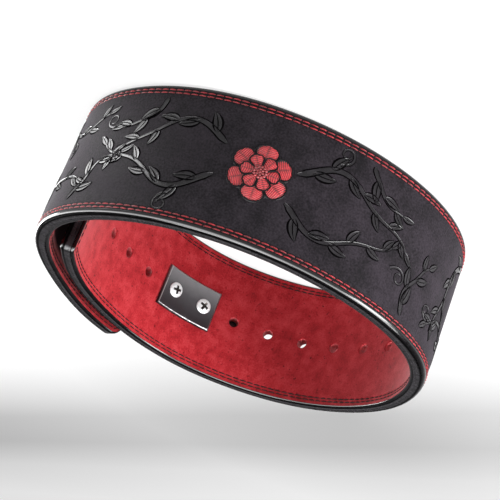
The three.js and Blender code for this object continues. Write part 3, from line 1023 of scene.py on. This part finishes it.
pressed_twigs = twig_work.make("pressed_twigs", [pressed, scorched])
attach(pressed_twigs, "root")

# Backing plate
# The bent steel plate on the lining that the screws draw against, bevelled on all four sides.
# Its face is painted lighter toward the low edge, a painted reflection over blacking of uneven
# wear, and it is bright rubbed steel along the bevels.
near_screw = first_hole + 4 * hole_pitch
far_screw = near_screw + hole_pitch
plate_margin = 12 * mm
plate_width = 34 * mm
plate_back = -0.3 * mm
plate_face = -3.3 * mm
plate_bevel = 1.2 * mm

black_steel, shader, place = new_finish("black_steel", Metallic=0.6)
peel = noise(place, 0.6 * mm, 2)
rubbed = noise(place, 7 * mm, 3)
drive(shader, "Base Color", rubbed, [(0.3, (0.02, 0.019, 0.021)), (0.75, (0.036, 0.034, 0.037))])
drive(shader, "Roughness", rubbed, [(0.3, 0.3), (0.7, 0.4)])
link(bump(peel, 0.03 * mm, 0.5), shader, "Normal")
plate_steel, shader, place = new_finish("plate_steel", Metallic=0.85)
peel = noise(place, 0.6 * mm, 2)
handled = noise(place, 9 * mm, 3)
# Painted reflection: the face is lighter toward its low edge, mixed with uneven wear.
lift = put(shader.id_data, "ShaderNodeSeparateXYZ", {"Vector": place.node.outputs["Generated"]}).outputs["Z"]
painted_reflection_and_wear = blend(0.2, lift, handled)
drive(shader, "Base Color", painted_reflection_and_wear, [
    (0.1, (0.20, 0.198, 0.205)), (0.45, (0.075, 0.073, 0.078)), (0.8, (0.035, 0.033, 0.037)),
])
drive(shader, "Roughness", handled, [(0.3, 0.28), (0.7, 0.36)])
link(bump(peel, 0.02 * mm, 0.4), shader, "Normal")
rubbed_steel = one_noise_finish(
    "rubbed_steel", 3 * mm, 3, [(0.3, (0.2, 0.2, 0.205)), (0.7, (0.42, 0.42, 0.425))],
    [(0.3, 0.25), (0.7, 0.4)], Metallic=1.0,
)


def make_plate():
    """Nested rings from the back round the rubbed bevel to the face, then a filled middle."""
    low = strap_width / 2 - plate_width / 2
    high = strap_width / 2 + plate_width / 2
    start = near_screw - plate_margin
    end = far_screw + plate_margin
    across = 24
    up_steps = 12

    def ring(inset, out):
        alongs = np.linspace(start + inset, end - inset, across + 1)
        ups = np.linspace(low + inset, high - inset, up_steps + 1)
        sides = [(along, ups[0]) for along in alongs[:-1]]
        sides += [(alongs[-1], up) for up in ups[:-1]]
        sides += [(along, ups[-1]) for along in alongs[:0:-1]]
        sides += [(alongs[0], up) for up in ups[:0:-1]]
        return [(along, out, up) for along, up in sides]

    rows = [
        (0.9 * mm, plate_back), (0.15 * mm, plate_back), (0, plate_back - 0.15 * mm),
        (0, plate_face + plate_bevel + 0.1 * mm), (0.04 * mm, plate_face + plate_bevel - 0.02 * mm),
        (plate_bevel - 0.62 * mm, plate_face + 0.56 * mm), (plate_bevel - 0.08 * mm, plate_face + 0.04 * mm),
        (plate_bevel + 0.1 * mm, plate_face),
    ]
    rubbed_row = 5
    places = [place for inset, out in rows for place in ring(inset, out)]
    count = 2 * (across + up_steps)
    faces = ring_faces(len(rows), count)
    for first in (0, (len(rows) - 1) * count):
        low_side = [first + k for k in range(across + 1)]
        high_side = [first + 2 * across + up_steps - k for k in range(across + 1)]
        right_side = [first + across + k for k in range(up_steps + 1)]
        left_side = [first + (count - k) % count for k in range(up_steps + 1)]
        faces.append((low_side[0], low_side[1], high_side[1], *left_side[:0:-1]))
        faces.append((low_side[-2], *right_side, high_side[-2]))
        for k in range(1, across - 1):
            faces.append((low_side[k], low_side[k + 1], high_side[k + 1], high_side[k]))
    points = on_strap(*np.array(places).T)
    finishes = [1 if k // count == rubbed_row else 0 for k in range(len(faces))]
    steels = [plate_steel, rubbed_steel]
    return make_piece("backing_plate_finished", points, faces, steels, finishes, sharp=25)


backing_plate = make_plate()
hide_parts("backing_plate")
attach(backing_plate, "root")

# Screws
# Two zinc-plated pan head machine screws with a cross recess. They pass through the plate and
# the strap and thread into the buckle.
screw_head_radius = 6 * mm
screw_head_height = 2.6 * mm
screw_rim = 0.6 * mm
screw_shank_radius = 3 * mm
screw_grip = 3 * mm

zinc = one_noise_finish(
    "bright_zinc", 1.2 * mm, 3, [(0.3, (0.46, 0.48, 0.49)), (0.7, (0.62, 0.64, 0.645))],
    [(0.3, 0.38), (0.7, 0.5)], (0.02 * mm, 0.4), Metallic=0.2,
)
recess_dark = one_noise_finish(
    "recess_shadow", 0.8 * mm, 2, [(0.3, (0.02, 0.018, 0.018)), (0.7, (0.07, 0.06, 0.055))],
    Metallic=1.0, Roughness=0.5,
)


def make_screw(name, along, turn):
    """A turned pan head and shank, its cross recess cut with tapering wings."""
    seat = plate_face - 0.3 * mm
    top = seat - screw_head_height
    tip = strap_thickness + 0.3 * mm + screw_grip
    profile = [(0.0, 0.0)]
    for angle in np.radians([12, 25, 38, 50, 62, 73, 82, 90]):
        profile.append((
            screw_head_radius * math.sin(angle),
            (screw_head_height - screw_rim) * (1 - math.cos(angle)),
        ))
    length = tip - top
    profile += [
        (screw_head_radius, screw_head_height - 0.15 * mm),
        (screw_head_radius - 0.15 * mm, screw_head_height),
        (screw_shank_radius, screw_head_height),
        (screw_shank_radius, length - 0.5 * mm),
        (screw_shank_radius - 0.5 * mm, length),
        (0.0, length),
    ]
    sides = 48
    points = []
    rings = []
    for radius, depth in profile:
        count = 1 if radius == 0 else sides
        rings.append(range(len(points), len(points) + count))
        for spin in 2 * math.pi * np.arange(count) / sides:
            points.append((radius * math.cos(spin), radius * math.sin(spin), -depth))
    faces = []
    for one, two in zip(rings, rings[1:]):
        for k in range(sides):
            ahead = k + 1
            corners = [one[k % len(one)], one[ahead % len(one)], two[ahead % len(two)], two[k % len(two)]]
            faces.append(tuple(dict.fromkeys(corners)))
    screw = make_piece(name, points, faces, [zinc, recess_dark])

    wing = np.array([(-4.5, 1.15, 0.5), (4.5, 1.15, 0.5), (2.0, 0.65, -1.9), (-2.0, 0.65, -1.9)]) * mm
    wings = []
    for side in (-1, 1):
        wings += [(x, side * half_width, z) for x, half_width, z in wing]
    across = [(-side, along, z) for along, side, z in wings]
    wing_faces = ring_faces(2, 4, capped=True)
    wing_faces += [tuple(8 + k for k in face) for face in wing_faces]
    cutter = make_piece("recess_cutter", wings + across, wing_faces, [recess_dark])
    recess = screw.modifiers.new("recess", "BOOLEAN")
    recess.object = cutter
    recess.operation = "DIFFERENCE"
    recess.solver = "EXACT"
    recess.use_self = True
    recess.material_mode = "TRANSFER"
    cut = finished_mesh(screw)
    screw.modifiers.clear()
    screw.data = cut
    bpy.data.objects.remove(cutter)

    spot = Vector(on_strap(along, top, strap_width / 2))
    outer = Vector(on_strap(along, top - mm, strap_width / 2))
    facing = (outer - spot).normalized()
    upward = Vector((0, 0, 1))
    sideways = upward.cross(facing)
    basis = Matrix((sideways, upward, facing)).transposed().to_4x4()
    cut.transform(Matrix.Translation(spot) @ basis @ Matrix.Rotation(math.radians(turn), 4, "Z"))
    shade_smooth(cut, 35)
    cut.name = name
    return screw


for number, along, turn in ((1, near_screw, 12), (2, far_screw, -20)):
    screw = make_screw(f"cross_screw_{number}", along, turn)
    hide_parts(f"screw_{number}")
    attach(screw, "root")

# Lever buckle
# The lever and its hook on the outside of the belt, one plain bent piece of blackened steel. Its
# edges are rounded as a cast lever's are.
buckle = frame["nodes"]["lever_buckle"].copy()
buckle.data = buckle.data.copy()
buckle.name = "lever_buckle_finished"
bpy.context.scene.collection.objects.link(buckle)
merged = bmesh.new()
merged.from_mesh(buckle.data)
bmesh.ops.remove_doubles(merged, verts=merged.verts, dist=0.01 * mm)
bmesh.ops.dissolve_limit(merged, angle_limit=math.radians(1), verts=merged.verts, edges=merged.edges)
merged.to_mesh(buckle.data)
merged.free()
buckle.data.materials.clear()
buckle.data.materials.append(black_steel)
rounding = buckle.modifiers.new("rounded_edges", "BEVEL")
rounding.width = 0.8 * mm
rounding.segments = 3
rounding.angle_limit = math.radians(40)
rounded = finished_mesh(buckle)
buckle.modifiers.clear()
buckle.data = rounded
shade_smooth(rounded, 30)
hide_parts("lever_buckle")
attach(buckle, "root")

# Floor, light and camera
# A white sweep that glows, with painted shade slantwise behind the belt and a painted shadow
# there, and soft boxes above and low at either side.
# A round lamp and a bent strip lamp only give the glossy parts their highlights.
floor_reach = 6
floor_level = -0.0002
floor_mesh = bpy.data.meshes.new("floor")
floor_corners = [
    (x * floor_reach, y * floor_reach, floor_level) for x, y in ((-1, -1), (1, -1), (1, 1), (-1, 1))
]
floor_mesh.from_pydata(floor_corners, [], [(0, 1, 2, 3)])
floor = add_object("floor", floor_mesh)
paper, shader, place = new_finish(
    "white_paper", Base_Color=(0.3, 0.3, 0.3, 1), Specular_IOR_Level=0.0, Emission_Color=(1, 1, 1, 1),
)


def compare_place(operation, other, output):
    inputs = {0: place, 1: other}
    return put(place.id_data, "ShaderNodeVectorMath", inputs, operation=operation).outputs[output]


# Painted shade: the floor's glow dips slantwise behind the belt.
slantwise = compare_place("DOT_PRODUCT", (-0.83, 0.56, 0), "Value")
glow_with_painted_shade = ramp(slantwise, [
    (0.0, 0.75), (0.2, 0.75), (0.25, 0.63), (0.3, 0.5),
    (0.345, 0.37), (0.42, 0.35), (0.5, 0.55), (0.62, 0.68),
])
# Painted shadow: the glow is darker round one spot behind the belt.
away_from_painted_shadow = compare_place("DISTANCE", (-0.14, 0.4, 0), "Value")
glow_with_painted_shadows = calc("ADD", between(away_from_painted_shadow, 0.0, 0.36, -0.22, 0.0), glow_with_painted_shade)
link(glow_with_painted_shadows, shader, "Emission Strength")
floor_mesh.materials.append(paper)

world = bpy.data.worlds.new("studio")
world.use_nodes = True
sky = world.node_tree
upward = put(sky, "ShaderNodeSeparateXYZ", {"Vector": put(sky, "ShaderNodeTexCoord").outputs["Generated"]})
glow = ramp(upward.outputs["Z"], [
    (0.0, (0.55, 0.53, 0.55)), (0.2, (0.36, 0.347, 0.36)),
    (0.42, (0.06, 0.058, 0.06)), (1.0, (0.12, 0.116, 0.12)),
])
sky.links.new(glow, sky.nodes["Background"].inputs["Color"])
bpy.context.scene.world = world


def add_soft_box(name, place, target, size, power):
    lamp = bpy.data.lights.new(name, "AREA")
    lamp.shape = "RECTANGLE"
    lamp.size, lamp.size_y = size
    lamp.energy = power
    soft_box = add_object(name, lamp)
    soft_box.location = place
    aim = Vector(target) - Vector(place)
    soft_box.rotation_euler = aim.to_track_quat("-Z", "Y").to_euler()


add_soft_box("top_box", (0.1, -0.1, 1.0), (0, 0, 0.05), (0.7, 0.35), 11)
add_soft_box("left_box", (0.8, 0.55, 0.08), (0.1, -0.05, 0.05), (0.5, 0.14), 8)
add_soft_box("right_box", (-0.85, -0.4, 0.35), (0, 0, 0.05), (0.4, 0.6), 21)

camera_data = bpy.data.cameras.new("camera")
camera_data.lens = 103.6
camera_data.sensor_width = 36
camera = add_object("camera", camera_data)
camera_place = Vector((2.2, -958.2, 440)) * mm
camera_pitch = math.radians(67.35)
camera_roll = math.radians(201.47)
camera.matrix_world = (
    Matrix.Translation(camera_place)
    @ Matrix.Rotation(camera_pitch, 4, "X")
    @ Matrix.Rotation(camera_roll, 4, "Z")
)
bpy.context.scene.camera = camera
bpy.context.scene.view_settings.view_transform = "Standard"


def add_glow_sheet(name, points, faces, shine, strength):
    """A glowing sheet that only glossy surfaces show, its points bright by their shine."""
    mesh = bpy.data.meshes.new(name)
    mesh.from_pydata([tuple(point) for point in points], [], faces)
    mesh.attributes.new("shine", "FLOAT", "POINT").data.foreach_set("value", shine)
    glowing, shader, place = new_finish(name + "_cloth", Base_Color=(0, 0, 0, 1), Emission_Color=(1, 1, 1, 1))
    link(calc("MULTIPLY", read_value(shader, "shine"), strength), shader, "Emission Strength")
    mesh.materials.append(glowing)
    sheet = add_object(name, mesh)
    sheet.visible_diffuse = False
    sheet.visible_camera = False
    sheet.visible_shadow = False


# A round lamp low beside the belt, for the gloss of the pressed twigs.
round_middle = np.array([0.25, -0.11, 0.0005])
round_reach = 0.12
round_sides = 24
round_turns = np.linspace(0, 2 * math.pi, round_sides + 1)[:-1]
round_points = [round_middle]
for turn in round_turns:
    round_points.append(round_middle + round_reach * np.array([math.cos(turn), math.sin(turn), 0]))
round_faces = [(0, 1 + k, 1 + (k + 1) % round_sides) for k in range(round_sides)]
add_glow_sheet("round_lamp", round_points, round_faces, [1.0] + [0.0] * round_sides, 27.0)

# A bent strip lamp, hung where the rounded upper border mirrors it toward the camera.
lamp_away = 1.2
loop_radius = 0.145
lamp_points = []
lamp_shine = []
for turn in np.radians(np.arange(-44, 93, 4)):
    outward = np.array([math.sin(turn), -math.cos(turn), 0])
    border_spot = np.array([0, 0, strap_width]) + loop_radius * outward
    sight = np.array(camera_place) - border_spot
    sight /= np.linalg.norm(sight)
    for lean, shine in ((12, 0), (28, 0.25), (40, 1), (50, 1)):
        facing = outward * math.cos(math.radians(lean)) + np.array([0, 0, math.sin(math.radians(lean))])
        lamp_points.append(border_spot + lamp_away * (2 * facing.dot(sight) * facing - sight))
        lamp_shine.append(shine)
lamp_faces = [
    (4 * row + k, 4 * row + k + 1, 4 * row + k + 5, 4 * row + k + 4)
    for row in range(len(lamp_points) // 4 - 1) for k in range(3)
]
add_glow_sheet("strip_lamp", lamp_points, lamp_faces, lamp_shine, 13.0)
